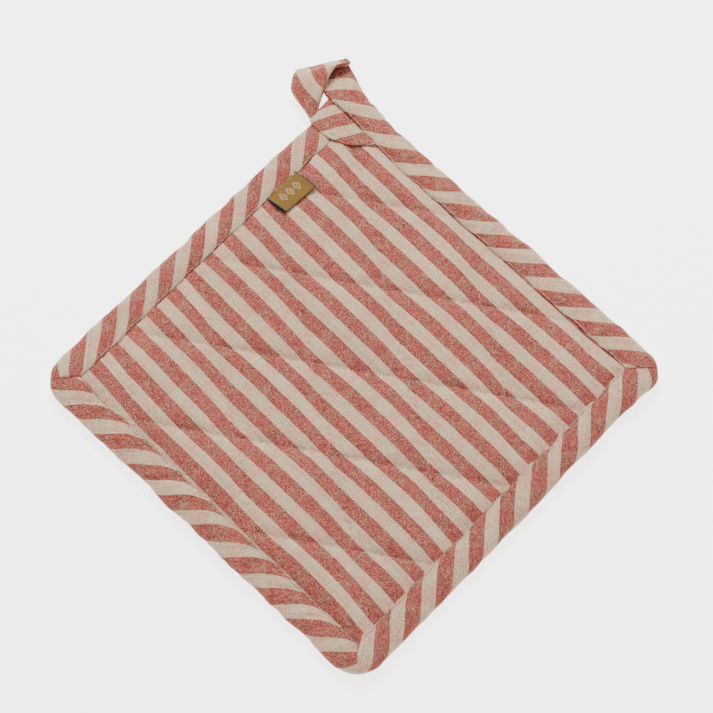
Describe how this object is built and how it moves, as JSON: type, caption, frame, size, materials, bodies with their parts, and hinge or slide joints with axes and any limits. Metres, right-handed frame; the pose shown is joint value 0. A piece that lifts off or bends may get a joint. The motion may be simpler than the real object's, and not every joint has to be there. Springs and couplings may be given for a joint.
{
  "type": "pot holder",
  "caption": "Square quilted pot holder in striped woven cotton, with a bias-cut edge binding, a folded hanging loop at one corner and a small blank side label",
  "frame": {"origin": "the middle of the square pad's back face, on the surface that the pad lies on", "axes": "+Z points out of the front face, away from the surface; +X and +Y run along the pad's sides, the loop leaves the +X +Y corner, and the face's stripes run along Y"},
  "size_m": [0.2094, 0.2235, 0.0098],
  "materials": {
    "striped_cotton": "plain-woven cotton, coral red and cream stripes, matt",
    "bias_binding": "the same striped cotton cut on the bias, matt",
    "wadding": "needled cotton wadding, matt",
    "sewing_thread": "cream sewing thread, matt",
    "label_ribbon": "mustard woven ribbon with charcoal selvedges, satin"
  },
  "bodies": {
    "pad": {"front_panel": "striped_cotton", "back_panel": "striped_cotton", "front_wadding": "wadding", "back_wadding": "wadding", "edge_binding": "bias_binding", "quilting_needle_thread": "sewing_thread", "quilting_bobbin_thread": "sewing_thread", "binding_needle_thread": "sewing_thread", "binding_bobbin_thread": "sewing_thread", "loop_tack_stitches": "sewing_thread"},
    "loop": {"hanging_loop": "bias_binding"},
    "label": {"side_label": "label_ribbon"}
  },
  "joints": [
    {"name": "loop_fold", "type": "hinge", "parent": "pad", "child": "loop", "pos_m": [0.09, 0.09625, 0.00375], "axis": [1, 0, 0], "range_deg": [-85, 94]},
    {"name": "label_flip", "type": "hinge", "parent": "pad", "child": "label", "pos_m": [0.0424, 0.0859, 0.0079], "axis": [-1, 0, 0], "range_deg": [0, 150]}
  ]
}
